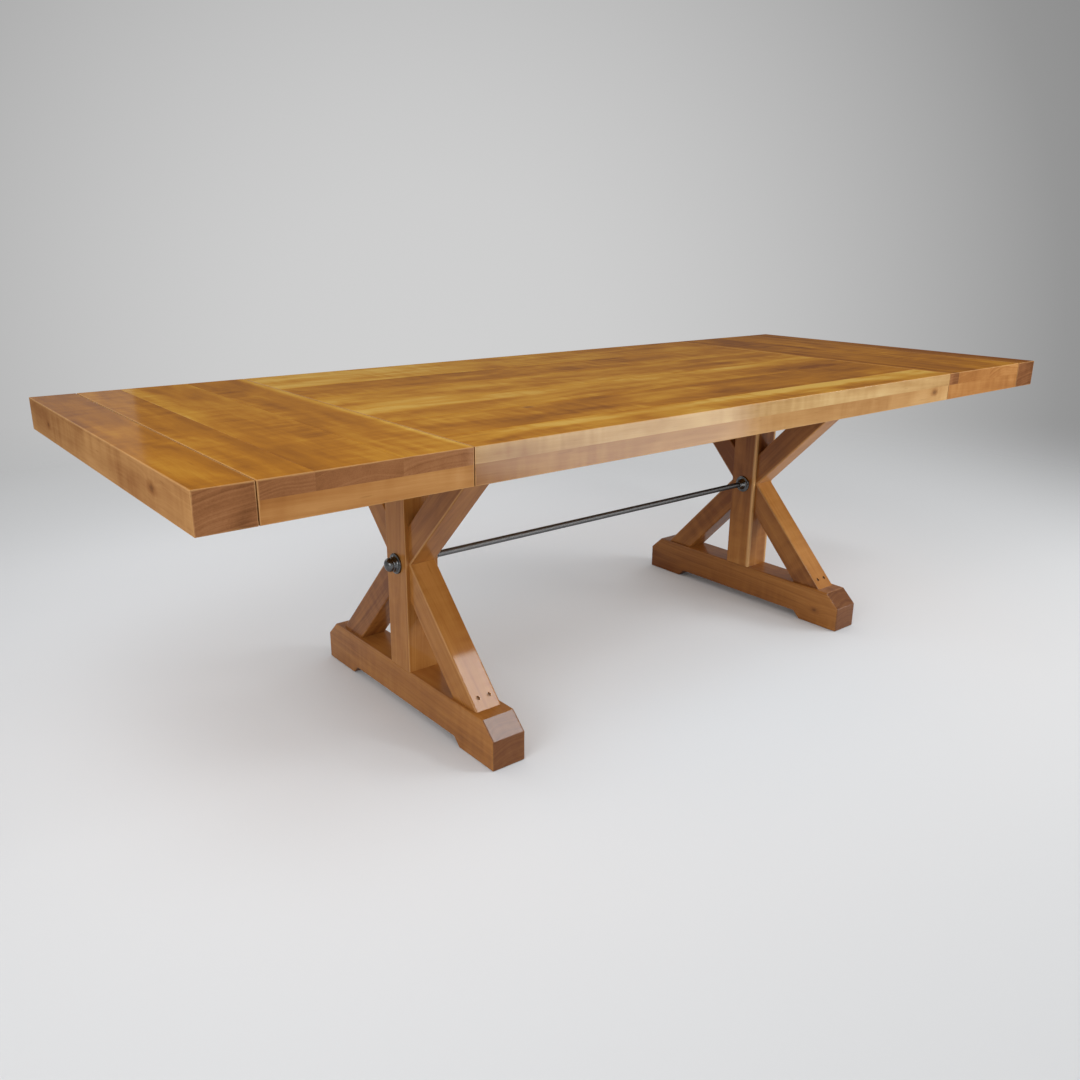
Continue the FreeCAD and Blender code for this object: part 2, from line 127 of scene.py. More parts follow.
class Finish:
    """The node tree of a material or a world.

    Each step adds a node and gives the socket that the next step reads.
    """

    def __init__(self, owner):
        owner.use_nodes = True
        self.owner = owner
        self.tree = owner.node_tree
        self.tree.nodes.clear()

    def step(self, kind, inputs, out=0, **settings):
        node = self.tree.nodes.new(kind)
        for key, value in settings.items():
            setattr(node, key, value)
        for key, value in inputs.items():
            if isinstance(value, bpy.types.NodeSocket):
                self.tree.links.new(value, node.inputs[key])
            else:
                node.inputs[key].default_value = value
        return node.outputs[out] if node.outputs else None

    def math(self, operation, *values):
        return self.step("ShaderNodeMath", dict(enumerate(values)), operation=operation)

    def vector(self, operation, *values, out="Vector"):
        return self.step("ShaderNodeVectorMath", dict(enumerate(values)), out=out, operation=operation)

    def parts(self, vector):
        node = self.step("ShaderNodeSeparateXYZ", {0: vector}).node
        return node.outputs[0], node.outputs[1], node.outputs[2]

    def plus(self, total, pattern, share):
        """The total and a share of a pattern, whose values lie about 0.5."""
        return self.math("MULTIPLY_ADD", self.math("SUBTRACT", pattern, 0.5), share, total)

    def noise(self, at, grains, detail=2.0, roughness=0.5, distortion=0.0, out="Fac"):
        """Noise with this many grains to the metre along each of the three axes."""
        spread = self.vector("MULTIPLY", at, grains)
        return self.step("ShaderNodeTexNoise", {"Vector": spread, "Scale": 1.0, "Detail": detail,
                                                "Roughness": roughness, "Distortion": distortion}, out=out)

    def between(self, value, low, high, smooth=True):
        """0 where value is at low, 1 where it is at high, with a smooth or an even rise between them."""
        kind = "SMOOTHSTEP" if smooth else "LINEAR"
        return self.step("ShaderNodeMapRange", {"Value": value, "From Min": low, "From Max": high},
                         interpolation_type=kind)

    def mix(self, share, a, b, blend="MIX"):
        return self.step("ShaderNodeMix", {0: share, 6: a, 7: b}, out=2, data_type="RGBA", blend_type=blend)

    def ramp(self, value, places, colours):
        """A run of colours, each at its place along the value."""
        socket = self.step("ShaderNodeValToRGB", {"Fac": value})
        elements = socket.node.color_ramp.elements
        while len(elements) < len(places):
            elements.new(1.0)
        for element, place, colour in zip(elements, places, colours):
            element.position = place
            element.color = colour
        return socket

    def surface(self, **sockets):
        """Ends the chain with one shader. Keys are its socket names with _ for a space."""
        inputs = {key.replace("_", " "): value for key, value in sockets.items()}
        shader = self.step("ShaderNodeBsdfPrincipled", inputs)
        self.step("ShaderNodeOutputMaterial", {"Surface": shader})
        return self.owner


class Board:
    """A straight board in its own grain frame: u along the grain, v across its width, w through it.

    middle is the board's centre, turn the rotation that lays the table's axes on u, v and w, and half its
    half sizes along them. free tells which of its faces are open to wear and to the painted highlight
    on their arrises: "u", "v" or "w" for both faces across that axis, or one of them with its sign.
    """

    def __init__(self, middle, turn, half, free):
        self.middle = Vector(middle)
        self.turn = Euler(turn)
        self.half = tuple(half)
        self.free = free.split()

    def place(self, point):
        """A point of the table in this board's grain frame."""
        return self.turn.to_matrix() @ (Vector(point) - self.middle)

    def axis(self, name):
        """The table's direction along one of the board's axes."""
        return self.turn.to_matrix().inverted() @ Vector([axis == name for axis in "uvw"])

    def open_faces(self, sign):
        """1 along each axis whose face on that side is open, else 0."""
        return tuple(float(axis in self.free or sign + axis in self.free) for axis in "uvw")


GRAIN_TURNS = {"x": (0, 0, 0), "y": (0, 0, QUARTER), "z": (0, -QUARTER, 0)}
GRAIN_ORDERS = {"x": (0, 1, 2), "y": (1, 0, 2), "z": (2, 1, 0)}


def square_board(node, grain, free):
    """A board that lies along one of the table's axes, from its node's box."""
    low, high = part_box(node)
    half = [(high - low)[axis] / 2 for axis in GRAIN_ORDERS[grain]]
    return Board((low + high) / 2, GRAIN_TURNS[grain], half, free)


def slanted_board(node):
    """A brace. Its outer face runs corner to corner of its box; its middle lies half its depth inside."""
    low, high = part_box(node)
    size = high - low
    front = -1 if low.y + high.y < 0 else 1
    upper = 1 if (low.z + high.z) / 2 > ROD_Z else -1
    lean = math.atan2(size.z * upper * front, size.y)
    half_depth = size.x / 2
    outward = Vector((0, front * math.sin(abs(lean)), -upper * math.cos(lean)))
    middle = (low + high) / 2 - outward * half_depth
    length = math.hypot(size.y, size.z)
    return Board(middle, (-lean, 0, QUARTER), (length, half_depth, half_depth), "v w")


def wood(name, board, seed, stain, end_stain, edge_stain_and_shade=None, log=None, pith=(0.03, -0.24),
         tone=0.0, slope=0.0, blotch=1.0, rings=0.15, curl=0.3, streaks=0.4, streak_width=0.033,
         sap=None, knots=(), wear_and_highlight=0.4, wear_and_highlight_width=0.0028,
         gloss=0.12, edge_gloss=None, coat_roughness=0.12, shine=0.0, roughness=0.42):
    """Stained and lacquered maple.

    The grain is solid, so faces and ends agree: rings are noise of the distance to a wandering pith line,
    and fibres, streaks and stain blotches are noise drawn out along the grain. Curl is noise in bands
    across it. The sum picks a colour of the stain. Ends, narrow faces, knots, flecks and pale arrises are
    mixed in on top; the pale arrises are partly wear and partly a painted highlight where an edge catches
    the light. The side faces' stain is painted shade on the right trestle's front braces. Boards of one seed
    and one log run into each other. tone is the paleness at the board's middle, and slope its change per
    metre along the grain; on some boards they are the stain's own, on others painted shade, darker where
    less light reaches. sap gives a pale band along one long side as (side, width, strength), and knots are
    (point, radius, axis) with the axis that the branch grew along.
    """
    f = Finish(bpy.data.materials.new(name))
    turn = board.turn.to_matrix()
    coordinates = f.step("ShaderNodeTexCoord", {}).node.outputs
    spot = f.step("ShaderNodeMapping", {"Vector": coordinates["Object"], "Rotation": board.turn,
                                        "Location": -(turn @ board.middle)})
    seat = f.step("ShaderNodeMapping", {"Vector": coordinates["Object"], "Rotation": board.turn,
                                        "Location": [seed * step for step in SEED_STEPS]})
    wander = f.vector("SUBTRACT", f.noise(seat, WANDER_GRAINS, out="Color"), (0.5, 0.5, 0.5))
    wander = f.vector("MULTIPLY", wander, (0.0, PITH_WANDER, PITH_WANDER))
    grained = f.vector("ADD", seat, wander)

    # Knots push the rings aside
    bulge, knot_reaches = 0.0, []
    for point, radius, axis in knots:
        reach = Vector((radius * 1.7, radius, radius)) + Vector([axis == a for a in "uvw"]) * radius * 2
        offset = f.vector("DIVIDE", f.vector("SUBTRACT", spot, board.place(point)), reach)
        even_reach = f.vector("LENGTH", offset, out="Value")
        knot_reaches.append(f.plus(even_reach, f.noise(seat, KNOT_RIM_GRAINS), 0.7))
        swell = f.math("EXPONENT", f.math("MULTIPLY", f.math("POWER", knot_reaches[-1], 2.0), -0.25))
        bulge = f.math("ADD", swell, bulge)

    pith_line = turn @ (log or board).middle + Vector((0, *pith))
    from_pith = f.vector("SUBTRACT", f.vector("ADD", spot, turn @ board.middle), pith_line)
    u, v, w = f.parts(f.vector("ADD", from_pith, wander))
    across = f.step("ShaderNodeCombineXYZ", {1: v, 2: f.math("MULTIPLY_ADD", u, PITH_RISE, w)})
    depth = f.math("MULTIPLY_ADD", bulge, KNOT_PUSH, f.vector("LENGTH", across, out="Value"))
    depth = f.math("ADD", depth, seed * RING_SEED_STEP)
    ring = f.step("ShaderNodeTexNoise", {"W": depth, "Scale": RING_GRAINS, "Detail": 2.5, "Roughness": 0.65},
                  noise_dimensions="1D")
    fibre = f.noise(grained, FIBRE_GRAINS)
    streak = f.noise(grained, (STREAK_GRAINS_ALONG, 1 / streak_width, 1 / streak_width), detail=3.0)
    patch = f.noise(seat, PATCH_GRAINS, detail=2.5, distortion=0.6)
    mottle = f.noise(seat, MOTTLE_GRAINS, distortion=0.4)
    drift = f.noise(seat, DRIFT_GRAINS)
    pores = f.noise(seat, PORE_GRAINS, detail=1.0)
    curl_band = f.noise(seat, CURL_GRAINS, detail=1.0)
    curl_place = f.between(f.noise(seat, CURL_PLACE_GRAINS), 0.35, 0.65)

    total = f.math("MULTIPLY", f.math("MULTIPLY", f.math("SUBTRACT", curl_band, 0.5), curl_place), curl)
    shares = ((patch, 0.7 * blotch), (mottle, 0.1 * blotch), (drift, 0.5 * blotch),
              (streak, streaks), (ring, rings), (fibre, 0.15))
    for pattern, share in shares:
        total = f.plus(total, pattern, share)
    spot_along, spot_across, _ = f.parts(spot)
    total = f.math("ADD", total, f.math("MULTIPLY_ADD", spot_along, slope, 0.5 + tone))
    if sap is not None:
        side, width, strength = sap
        inside = f.math("MULTIPLY_ADD", spot_across, -side, board.half[1])
        band = f.between(f.plus(inside, drift, width), width, width * 0.35)
        total = f.math("MULTIPLY_ADD", band, strength, total)

    def facing(axis):
        """How squarely the surface faces along one of the board's axes, from 0 to 1."""
        direction = board.axis(axis)
        return f.math("ABSOLUTE", f.vector("DOT_PRODUCT", coordinates["Normal"], direction, out="Value"))

    colour = f.ramp(total, STAIN_PLACES, stain)
    coat = gloss
    if edge_stain_and_shade is not None:
        beside = f.between(facing("w"), 0.75, 0.45)
        colour = f.mix(beside, colour, f.ramp(total, STAIN_PLACES, edge_stain_and_shade))
        coat = f.math("MULTIPLY_ADD", beside, (edge_gloss or gloss) - gloss, gloss)
    ends = f.between(facing("u"), 0.45, 0.70)
    end_total = f.math("MULTIPLY_ADD", total, 0.65, 0.175)
    for pattern, share in ((pores, 0.25), (ring, 0.35)):
        end_total = f.plus(end_total, pattern, share)
    colour = f.mix(ends, colour, f.ramp(end_total, STAIN_PLACES, end_stain))

    flecks = f.between(f.noise(grained, FLECK_GRAINS), 0.66, 0.76)
    colour = f.mix(f.math("MULTIPLY", flecks, 0.25), colour, FLECK)
    for reach in knot_reaches:
        knot = f.ramp(reach, (0.2, 0.7), (KNOT_HEART, KNOT_WOOD))
        colour = f.mix(f.math("MULTIPLY", f.between(reach, 1.7, 0.4), 0.7), colour, knot)

    # An arris is where the second smallest distance to the open faces is small
    out = f.vector("MAXIMUM", f.vector("MULTIPLY", spot, board.open_faces("+")),
                   f.vector("MULTIPLY", spot, [-way for way in board.open_faces("-")]))
    gaps = f.parts(f.vector("SUBTRACT", board.half, out))
    small = f.math("MINIMUM", gaps[0], gaps[1])
    large = f.math("MAXIMUM", gaps[0], gaps[1])
    second = f.math("MAXIMUM", small, f.math("MINIMUM", large, gaps[2]))
    # Pale arrises: wear, and a painted highlight along the edges that catch the light
    rubbed = f.between(f.plus(second, streak, 0.004), wear_and_highlight_width, wear_and_highlight_width * 0.2)
    colour = f.mix(f.math("MULTIPLY", rubbed, wear_and_highlight), colour, WORN_EDGE_AND_HIGHLIGHT)

    height = f.math("MULTIPLY_ADD", ring, 0.4, f.math("MULTIPLY", pores, ends))
    height = f.math("MULTIPLY_ADD", fibre, 0.5, height)
    bump = f.step("ShaderNodeBump", {"Height": height, "Strength": 0.25, "Distance": RELIEF})
    dull = f.plus(roughness, patch, 0.12)
    return f.surface(Base_Color=colour, Roughness=dull, Normal=bump, Specular_IOR_Level=shine,
                     Coat_Weight=coat, Coat_Roughness=coat_roughness)


def paint(node, material):
    """Gives a carried-over CAD node its finish."""
    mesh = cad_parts[node].data
    mesh.materials.clear()
    mesh.materials.append(material)


def finish_main_top():
    """The six planks of the main top, each from another log, and the strips under its long edges."""
    tones = (-0.01, -0.09, -0.05, 0.0, 0.01, 0.07)
    # The slopes are painted light and shade along the planks: most darken towards the right end, where less
    # light falls
    shade_slopes = {1: 0.13, 6: -0.22}
    free = {1: "u +w -v", 6: "u +w +v"}
    saps = {1: (1, 0.075, 0.34), 3: (1, 0.080, 0.24), 4: (-1, 0.060, 0.16)}
    knots = {2: [((-0.475, -0.251, TOP_Z), 0.008, "w")]}
    for count, tone in enumerate(tones, 1):
        node = f"main_plank_{count}"
        board = square_board(node, "x", free.get(count, "u +w"))
        edge = PALE_EDGE if count in free else None
        blotch, streaks = (1.5, 0.4) if count == 1 else (1.2, 0.32)
        paint(node, wood(node, board, count, AMBER_TOP, END_GRAIN_TOP, edge_stain_and_shade=edge, tone=tone,
                         slope=shade_slopes.get(count, -0.16), blotch=blotch, curl=0.35, streaks=streaks,
                         sap=saps.get(count), knots=knots.get(count, ()), edge_gloss=0.4))
    for seed, (node, side) in enumerate((("front_edge_strip", "-v"), ("back_edge_strip", "+v")), 11):
        low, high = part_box(node)
        board = square_board(node, "x", "u -w " + side)
        knots = [((0.729, low.y, 0.717), 0.009, "v")] if side == "-v" else []
        # The slope paints the strips paler towards the right end: painted light from the front lamps there
        paint(node, wood(node, board, seed, ROSE_EDGE, END_GRAIN_TOP, tone=0.02, slope=0.34, blotch=0.8,
                         curl=0.35, knots=knots, gloss=0.4))


def finish_leaves():
    """Each leaf: three planks across the table, pale beside the main top, on strips that run along it."""
    strips = (("front_strip", "u -w -v"), ("back_strip", "u -w +v"), ("batten", "-w"))
    for side, sign in SIDES.items():
        # The right leaf's planks are painted darker: painted shade at the end of the top that gets less
        # light
        tones = (-0.02, 0.01, 0.0) if side == LEFT else (-0.28, -0.2, -0.1)
        toward_main, toward_end = ("+v", "-v") if side == LEFT else ("-v", "+v")
        # The seam sides are open faces, so their arrises take the pale arris colour: a painted highlight
        # along the seams
        seams = {1: toward_main, 3: toward_end}
        for count, tone in enumerate(tones, 1):
            node = f"{side}_leaf_plank_{count}"
            board = square_board(node, "y", "u +w " + seams.get(count, ""))
            sap = (-sign, 0.026, 0.22) if count == 1 else None
            end_stain = TAN_EDGE if side == RIGHT and count > 1 else END_GRAIN_TOP
            paint(node, wood(node, board, 20 + 4 * sign + count, AMBER_TOP, end_stain, edge_stain_and_shade=TAN_EDGE,
                             tone=tone, blotch=0.85, curl=0.4, sap=sap, wear_and_highlight=0.45))
        for seed, (part, free) in enumerate(strips, 30 + 5 * sign):
            node = f"{side}_leaf_{part}"
            board = square_board(node, "x", free)
            paint(node, wood(node, board, seed, TAN_EDGE, END_GRAIN_TOP, tone=-0.05, curl=0.4))


def finish_ends():
    """Each pull-out end: a board over an under board from the same log, and what carries them."""
    for side, sign in SIDES.items():
        upper, under, pegs = f"{side}_end_board", f"{side}_end_under_board", f"{side}_stop_pegs"
        board = square_board(upper, "y", "u v +w")
        face = board.middle.x + sign * board.half[1]
        # Tone and slope here are painted shade: the right end board darker, the left one darker towards its
        # back
        tone, slope = (-0.11, 0.15) if side == LEFT else (-0.33, 0.0)
        shared = dict(log=board, tone=tone, slope=slope,
                      knots=[((face, 0.352, 0.724), 0.008, "v"), ((face, -0.333, 0.728), 0.011, "v")])
        seed = 40 + 3 * sign
        paint(upper, wood(upper, board, seed, AMBER_TOP, END_GRAIN_TOP, edge_stain_and_shade=END_SIDE, wear_and_highlight=0.4,
                          **shared))
        board = square_board(under, "y", "u v -w")
        paint(under, wood(under, board, seed, END_SIDE, END_GRAIN_TOP, wear_and_highlight=0.3, **shared))
        for seed, part in enumerate(("front_runner", "back_runner"), 50 + 3 * sign):
            node = f"{side}_{part}"
            board = square_board(node, "x", "v -w")
            paint(node, wood(node, board, seed, HIDDEN_TAN, END_GRAIN_LEG, wear_and_highlight=0.3))
        paint(pegs, wood(pegs, square_board(pegs, "z", ""), 55 + sign, HIDDEN_TAN, END_GRAIN_LEG))


def finish_trestles():
    """Feet, posts and braces, and the members under the top that hold them."""
    leg = dict(gloss=0.36, coat_roughness=0.08, shine=0.05, roughness=0.4, pith=(0.02, -0.13), blotch=0.6,
               rings=0.25, streaks=0.35, streak_width=0.015)
    ways = [(level, depth) for level in ("upper", "lower") for depth in ("front", "back")]
    # Brace tones are painted light and shade: darker where less light reaches a brace, paler where the front
    # light falls
    brace_shade_tones = {LEFT: dict(zip(ways, (-0.14, 0.0, 0.04, -0.28))),
                   RIGHT: dict(zip(ways, (0.04, -0.27, 0.10, -0.23)))}
    # The right foot is painted darker, more so towards its back: painted shade under the table
    foot_shade = {LEFT: dict(tone=-0.04), RIGHT: dict(tone=-0.2, slope=0.25)}
    # The right post is painted darker, more so towards its top: painted shade under the table; its wide pale
    # front arris is a painted highlight
    post_shade_and_highlight = {LEFT: dict(wear_and_highlight=0.4), RIGHT: dict(tone=-0.2, slope=0.6, wear_and_highlight=1.0, wear_and_highlight_width=0.012)}
    for side, sign in SIDES.items():
        foot, post = f"{side}_foot", f"{side}_post"
        low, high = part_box(foot)
        knots = [((low.x, -0.305, 0.046), 0.008, "v")] if side == RIGHT else []
        board = square_board(foot, "y", "u v w")
        paint(foot, wood(foot, board, 60 + sign, LEG_BROWN, END_GRAIN_LEG, knots=knots, wear_and_highlight=0.12,
                         **foot_shade[side], **leg))
        board = square_board(post, "z", "v w" if side == LEFT else "-v w")
        paint(post, wood(post, board, 64 + sign, LEG_BROWN, END_GRAIN_LEG, **post_shade_and_highlight[side], **leg))
        for level, depth in ways:
            node = f"{side}_{level}_{depth}_brace"
            seed = 70 + 4 * sign + 2 * (level == "upper") + (depth == "front")
            # The right front braces' side faces get the darker brown: painted shade
            edge = LEG_SHADE if side == RIGHT and depth == "front" else None
            paint(node, wood(node, slanted_board(node), seed, LEG_BROWN, END_GRAIN_LEG, edge_stain_and_shade=edge,
                             tone=brace_shade_tones[side][level, depth], slope=-0.35, **leg))
        for seed, part in enumerate(("header", "batten", "end_strip"), 80 + 4 * sign):
            node = f"{side}_{part}"
            board = square_board(node, "y", "v -w")
            paint(node, wood(node, board, seed, HIDDEN_TAN, END_GRAIN_LEG, wear_and_highlight=0.3))


# Metal

def gunmetal(name, dark, pale, roughness, rub, shade_to_right=0.0):
    """Browned steel between two tones, faintly drawn along the rod.

    rub is the share of bare steel where it is rubbed. The last argument is painted shade: how much the
    steel is darkened from the left post to the right one.
    """
    f = Finish(bpy.data.materials.new(name))
    spot = f.step("ShaderNodeTexCoord", {}, out="Object")
    mottle = f.noise(spot, (30.0, 220.0, 220.0), detail=4.0, roughness=0.6)
    rubbed = f.between(f.noise(spot, (25.0, 70.0, 70.0), detail=3.0), 0.58, 0.74)
    colour = f.ramp(mottle, (0.3, 0.7), (dark, pale))
    colour = f.mix(f.math("MULTIPLY", rubbed, rub), colour, BARE_STEEL)
    # Painted shade: the steel darkens from the left post to the right one
    shaded_share = f.math("MULTIPLY", f.between(f.parts(spot)[0], -0.6, 0.6, smooth=False), shade_to_right)
    colour = f.mix(shaded_share, colour, SHADED_STEEL)
    bump = f.step("ShaderNodeBump", {"Height": mottle, "Strength": 0.1, "Distance": RELIEF})
    dull = f.plus(roughness, mottle, 0.15)
    return f.surface(Base_Color=colour, Metallic=1.0, Roughness=dull, Normal=bump)


def screw_steel(name, dark, pale):
    """Dull screw steel with a faint cloudy bloom between two tones."""
    f = Finish(bpy.data.materials.new(name))
    spot = f.step("ShaderNodeTexCoord", {}, out="Object")
    bloom = f.noise(spot, (400.0, 400.0, 400.0), detail=3.0)
    colour = f.ramp(bloom, (0.3, 0.7), (dark, pale))
    dull = f.math("MULTIPLY_ADD", bloom, 0.3, 0.25)
    return f.surface(Base_Color=colour, Metallic=1.0, Roughness=dull)


def turned(name, profiles, node, material, steps=64, sharp=math.radians(35)):
    """Turned pieces on the tie rod's line: each profile of (place along X, radius) pairs is swept round it.

    The surface is (x(t), r(t) sin a, ROD_Z + r(t) cos a), with a going once round. A profile runs towards
    +X along its outside. One that comes back to its start is a ring; any other is closed by a flat face at
    each end. Edges that turn by more than the sharp angle stay sharp.
    """
    points, faces = [], []
    angle = np.linspace(0, 2 * math.pi, steps, endpoint=False)
    for profile in profiles:
        profile = np.array(profile)
        is_ring = np.allclose(profile[0], profile[-1])
        rows = len(profile) - is_ring
        first = sum(map(len, points))
        x = np.repeat(profile[:rows, :1], steps, axis=1)
        y = profile[:rows, 1:] * np.sin(angle)
        z = ROD_Z + profile[:rows, 1:] * np.cos(angle)
        points.append(np.stack([x, y, z], axis=-1).reshape(-1, 3))
        row, around = np.meshgrid(np.arange(len(profile) - 1), np.arange(steps), indexing="ij")
        this = first + row * steps
        then = first + (row + 1) % rows * steps
        after = (around + 1) % steps
        quads = np.stack([this + around, then + around, then + after, this + after], axis=-1)
        faces += quads.reshape(-1, 4).tolist()
        if not is_ring:
            last = first + (rows - 1) * steps
            faces += [list(range(first, first + steps)), list(range(last, last + steps))[::-1]]
    mesh = bpy.data.meshes.new(name)
    mesh.from_pydata(np.vstack(points), [], faces)
    mesh.polygons.foreach_set("use_smooth", np.ones(len(mesh.polygons), bool))
    mesh.set_sharp_from_angle(angle=sharp)
    mesh.materials.append(material)
    piece = bpy.data.objects.new(name, mesh)
    bpy.context.scene.collection.objects.link(piece)
    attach(piece, "table")
    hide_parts(node)


def both_sides(face, profile, outward=1):
    """A profile in millimetres out from a post's face at +face, and its mirror image on the other post."""
    right = [(face + outward * x / 1000, r / 1000) for x, r in profile]
    left = [(-x, r) for x, r in right]
    return [right, left[::-1]] if outward == 1 else [right[::-1], left]


def turn_fittings(rod_steel, steel):
    """The rod and what holds it: a flange washer and a domed nut outside each post, a collar inside.

    Profiles are in millimetres, apart from the rod's own, which is in metres.
    """
    post_low, post_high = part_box("right_post")
    rod_end = ROD_HIGH.x
    nut_end = (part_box("rod_cap_nuts")[1].x - post_high.x) * 1000
    bore_end = (rod_end - post_high.x) * 1000 + 0.4
    hole = ROD_RADIUS * 1000 + 0.3
    washer = [(0, hole), (0, 24.2), (0.3, 24.8), (1.1, 25), (3.4, 25), (4.5, 24.6), (5.2, 23.6),
              (5.7, 21.2), (6, 17.5), (6, hole), (0, hole)]
    neck, neck_radius = 17.8, 17.1
    nut = [(bore_end, 1), (bore_end, hole), (6, hole), (6, 20.4), (6.6, 20.2), (7.6, 19), (9, 18),
           (10.8, 17.4), (13, neck_radius), (13.8, 16.8), (14.3, 16.2), (14.8, 15.6), (15.6, 15.6),
           (16.1, 16.2), (16.7, 16.8), (neck, neck_radius)]
    dome = np.radians(np.linspace(0, 87, 14))
    nut += [(neck + (nut_end - neck) * math.sin(a), neck_radius * math.cos(a)) for a in dome[1:]]
    collar = [(0, hole), (0, 24.2), (0.3, 24.8), (1.1, 25), (3.2, 25), (4.2, 24.5), (4.8, 23.4),
              (5.2, 20.5), (5.8, 17.8), (6.8, 16.4), (8.4, 15.6), (12, 14.4), (18, 12.5), (22.8, 11),
              (23.6, 10.5), (24, 9.8), (24, hole), (0, hole)]
    bevel = 0.0012
    rod = [(-rod_end, ROD_RADIUS - bevel), (-rod_end + bevel, ROD_RADIUS), (rod_end - bevel, ROD_RADIUS),
           (rod_end, ROD_RADIUS - bevel)]
    turned("turned_washers", both_sides(post_high.x, washer), "rod_washers", steel)
    turned("turned_nuts", both_sides(post_high.x, nut), "rod_cap_nuts", steel)
    turned("turned_collars", both_sides(post_low.x, collar, outward=-1), "rod_collars", steel)
    turned("turned_rod", [rod], "tie_rod", rod_steel)


def finish_metal():
    """The rod's fittings, the straps and the screws."""
    dark = gunmetal("browned_steel", tint(78, 79, 80), tint(114, 115, 116), roughness=0.24, rub=0.25)
    drawn = gunmetal("drawn_steel", tint(104, 104, 105), tint(118, 118, 119), roughness=0.5, rub=0.04,
                     shade_to_right=0.75)
    bright = screw_steel("zinc_screw", tint(120, 117, 110), tint(164, 161, 152))
    brown = screw_steel("bronzed_screw", tint(98, 72, 50), tint(132, 102, 76))
    turn_fittings(drawn, dark)
    for node in ("left_runner_straps", "right_runner_straps"):
        paint(node, dark)
    for node in ("top_screws", "strap_screws", "left_runner_screws", "right_runner_screws"):
        paint(node, bright)
    paint("brace_screws", brown)


# The stage

# The floor's paper outside and inside a painted pool of light, a cool tint painted under the table against
# the warm light bounced from the wood, and a painted glow that lifts its shadows
LIGHT_POOL_MIDDLE = (-0.2, 0.6, 0.0)
PAPER_OUT_OF_LIGHT_POOL, PAPER_IN_LIGHT_POOL = tint(216, 218, 220), tint(250, 252, 255)
PAPER_BOUNCE_COOLING = tint(245, 251, 255)
PAPER_GLOW, GLOW_SHARE = tint(228, 228, 229), 0.25

# The wall's grey against the nearness, from 0 to 1, to its brightest spot, and the even light's grey
SPOT_ON_WALL = Vector((0.532, 0.836, -0.131)).normalized()
WALL_PLACES = (0.0, 0.5, 0.80, 0.895, 0.9096, 0.933, 0.9532, 0.9698, 0.983, 0.9924, 1.0)
WALL_GREYS = (0.50, 0.42, 0.34, 0.275, 0.302, 0.393, 0.47, 0.533, 0.582, 0.614, 0.63)
EVEN_GREY = 0.435

# The photograph's viewpoint in metres, its yaw from +Y towards +X, pitch down and roll in degrees, and its
# focal length and width in pixels
CAMERA_PLACE = (-1.7252, -1.8454, 1.1088)
CAMERA_ANGLES = (38.881, 17.743, -0.443)
FOCAL_PIXELS, PHOTO_PIXELS = 941.4, 1080
SENSOR_WIDTH = 36.0


def make_floor(radius=8.0, rings=40, steps=96):
    """A round pale floor: (r cos a, r sin a, 0), with r spread evenly.

    It thins to nothing away from the table, and is not there from below.
    """
    r, a = np.meshgrid(np.linspace(0, radius, rings + 1)[1:],
                       np.linspace(0, 2 * math.pi, steps, endpoint=False), indexing="ij")
    points = np.stack([r * np.cos(a), r * np.sin(a), np.zeros_like(r)], axis=-1).reshape(-1, 3)
    points = np.vstack([points, [[0, 0, 0]]])
    ring, around = np.meshgrid(np.arange(rings - 1), np.arange(steps), indexing="ij")
    after = (around + 1) % steps
    this, then = ring * steps, (ring + 1) * steps
    quads = np.stack([this + around, then + around, then + after, this + after], axis=-1).reshape(-1, 4)
    first = np.arange(steps)
    hub = np.stack([np.full(steps, len(points) - 1), first, (first + 1) % steps], axis=-1)
    mesh = bpy.data.meshes.new("floor")
    mesh.from_pydata(points, [], quads.tolist() + hub.tolist())
    floor = bpy.data.objects.new("floor", mesh)
    bpy.context.scene.collection.objects.link(floor)

    f = Finish(bpy.data.materials.new("floor_paper"))
    spot = f.step("ShaderNodeTexCoord", {}, out="Object")
    from_middle = f.vector("LENGTH", spot, out="Value")
    # A painted pool of light: the paper is paler near its middle
    in_light_pool = f.between(f.vector("DISTANCE", spot, LIGHT_POOL_MIDDLE, out="Value"), 2.2, 0.6)
    tone = f.mix(in_light_pool, PAPER_OUT_OF_LIGHT_POOL, PAPER_IN_LIGHT_POOL)
    # A cool tint painted under the table that cancels the warm light bounced there from the wood
    tone = f.mix(f.between(from_middle, 1.2, 0.4), tone, PAPER_BOUNCE_COOLING, blend="MULTIPLY")
    paper = f.step("ShaderNodeBsdfDiffuse", {"Color": tone})
    # The glow is painted light: an emission that lifts the paper's shadows, dimmed by occlusion so the shade
    # by the feet stays
    open_sky = f.math("POWER", f.step("ShaderNodeAmbientOcclusion", {"Distance": 0.25}, out="AO"), 1.2)
    glow = f.step("ShaderNodeEmission", {"Color": PAPER_GLOW, "Strength": open_sky})
    paper = f.step("ShaderNodeMixShader", {0: GLOW_SHARE, 1: paper, 2: glow})
    clear = f.step("ShaderNodeBsdfTransparent", {})
    underside = f.step("ShaderNodeNewGeometry", {}, out="Backfacing")
    gone = f.math("MAXIMUM", f.between(from_middle, 1.3, 5.0), underside)
    shader = f.step("ShaderNodeMixShader", {0: gone, 1: paper, 2: clear})
    f.step("ShaderNodeOutputMaterial", {"Surface": shader})
    mesh.materials.append(f.owner)


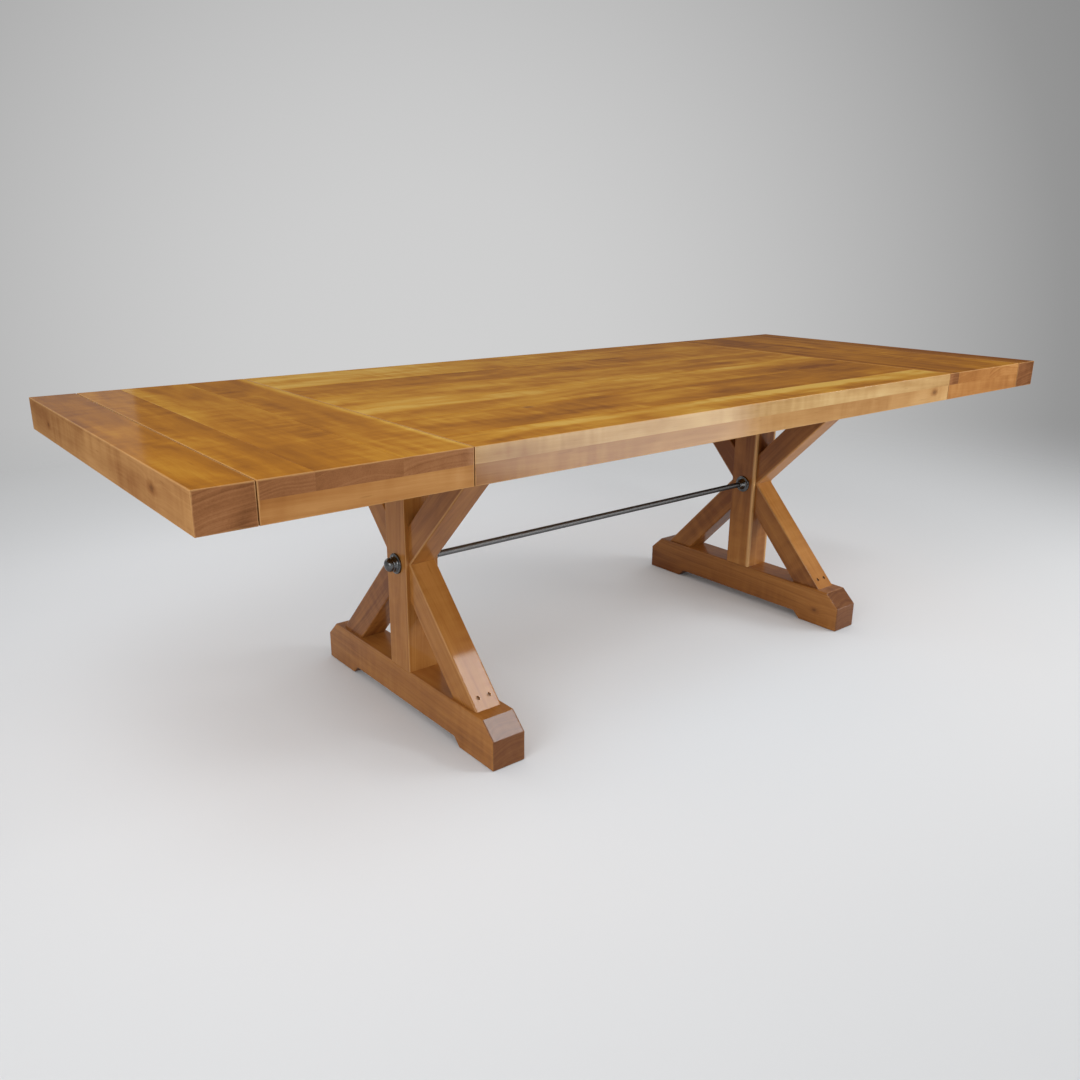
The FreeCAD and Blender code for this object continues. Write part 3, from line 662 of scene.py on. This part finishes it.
def make_surroundings():
    """A grey studio wall that is brightest behind the table; other light comes evenly from all round."""
    world = bpy.data.worlds.new("studio")
    bpy.context.scene.world = world
    f = Finish(world)
    way = f.step("ShaderNodeTexCoord", {}, out="Generated")
    toward = f.vector("DOT_PRODUCT", way, SPOT_ON_WALL, out="Value")
    nearness = f.math("MULTIPLY_ADD", toward, 0.5, 0.5)
    wall = f.ramp(nearness, WALL_PLACES, [(grey, grey, grey, 1.0) for grey in WALL_GREYS])
    rays = f.step("ShaderNodeLightPath", {}).node.outputs
    seen = f.math("MAXIMUM", rays["Is Camera Ray"], rays["Is Glossy Ray"])
    seen = f.math("MAXIMUM", seen, rays["Is Transmission Ray"])
    colour = f.mix(seen, (EVEN_GREY, EVEN_GREY, EVEN_GREY, 1.0), wall)
    shader = f.step("ShaderNodeBackground", {"Color": colour})
    f.step("ShaderNodeOutputWorld", {"Surface": shader})


def softbox(name, centre, aim, width, height, radiance, spread=180):
    """A flat soft light of an even brightness, aimed at a point, with a grid that limits its spread.

    The spread is in degrees. A grid of half angle h lets through 1 - h / tan h of what an open box that is
    as bright ahead gives.
    """
    half = math.radians(spread / 2)
    kept = 1 - half / math.tan(half)
    lamp = bpy.data.lights.new(name, "AREA")
    lamp.shape = "RECTANGLE"
    lamp.size, lamp.size_y = width, height
    lamp.spread = 2 * half
    lamp.energy = radiance * math.pi * width * height * kept
    light = bpy.data.objects.new(name, lamp)
    bpy.context.scene.collection.objects.link(light)
    light.location = centre
    light.rotation_euler = (Vector(aim) - Vector(centre)).to_track_quat("-Z", "Y").to_euler()
    light.visible_camera = False


def make_lights():
    """Softboxes over both ends, a tall and a low one in front, one at each side, and a card behind."""
    softbox("overhead_left", (-1.6, -1.0, 2.6), (-0.6, 0.0, 0.7), 1.6, 1.6, radiance=2.6)
    softbox("overhead_right", (1.21, -1.965, 2.72), (-0.04, -0.26, 0.57), 0.46, 0.62, radiance=15.0)
    softbox("front_softbox", (2.5, -2.3, 1.25), (0.55, -0.3, 0.55), 1.3, 1.4, radiance=7.5)
    softbox("low_softbox", (1.19, -2.3, 0.26), (-0.42, -0.515, 0.72), 1.25, 0.42, radiance=7.0, spread=90)
    softbox("left_softbox", (-3.4, -1.4, 1.4), (-0.6, -0.3, 0.6), 1.8, 1.8, radiance=3.5)
    softbox("right_softbox", (3.6, 0.6, 2.2), (0.6, 0.0, 0.6), 1.4, 1.4, radiance=1.8)
    softbox("back_card", (-1.427, 3.0, 1.7), (-1.427, 0.0, 1.2), 2.127, 1.6, radiance=1.0)


def make_camera():
    """The camera at the photograph's viewpoint."""
    yaw, pitch, roll = (math.radians(angle) for angle in CAMERA_ANGLES)
    camera = bpy.data.cameras.new("camera")
    camera.sensor_fit = "HORIZONTAL"
    camera.sensor_width = SENSOR_WIDTH
    camera.lens = FOCAL_PIXELS / PHOTO_PIXELS * SENSOR_WIDTH
    eye = bpy.data.objects.new("camera", camera)
    bpy.context.scene.collection.objects.link(eye)
    eye.location = CAMERA_PLACE
    eye.rotation_mode = "QUATERNION"
    level = Euler((QUARTER - pitch, 0, -yaw)).to_quaternion()
    eye.rotation_quaternion = level @ Euler((0, 0, -roll)).to_quaternion()
    bpy.context.scene.camera = eye


finish_main_top()
finish_leaves()
finish_ends()
finish_trestles()
finish_metal()
make_floor()
make_surroundings()
make_lights()
make_camera()
bpy.context.scene.view_settings.view_transform = "Standard"
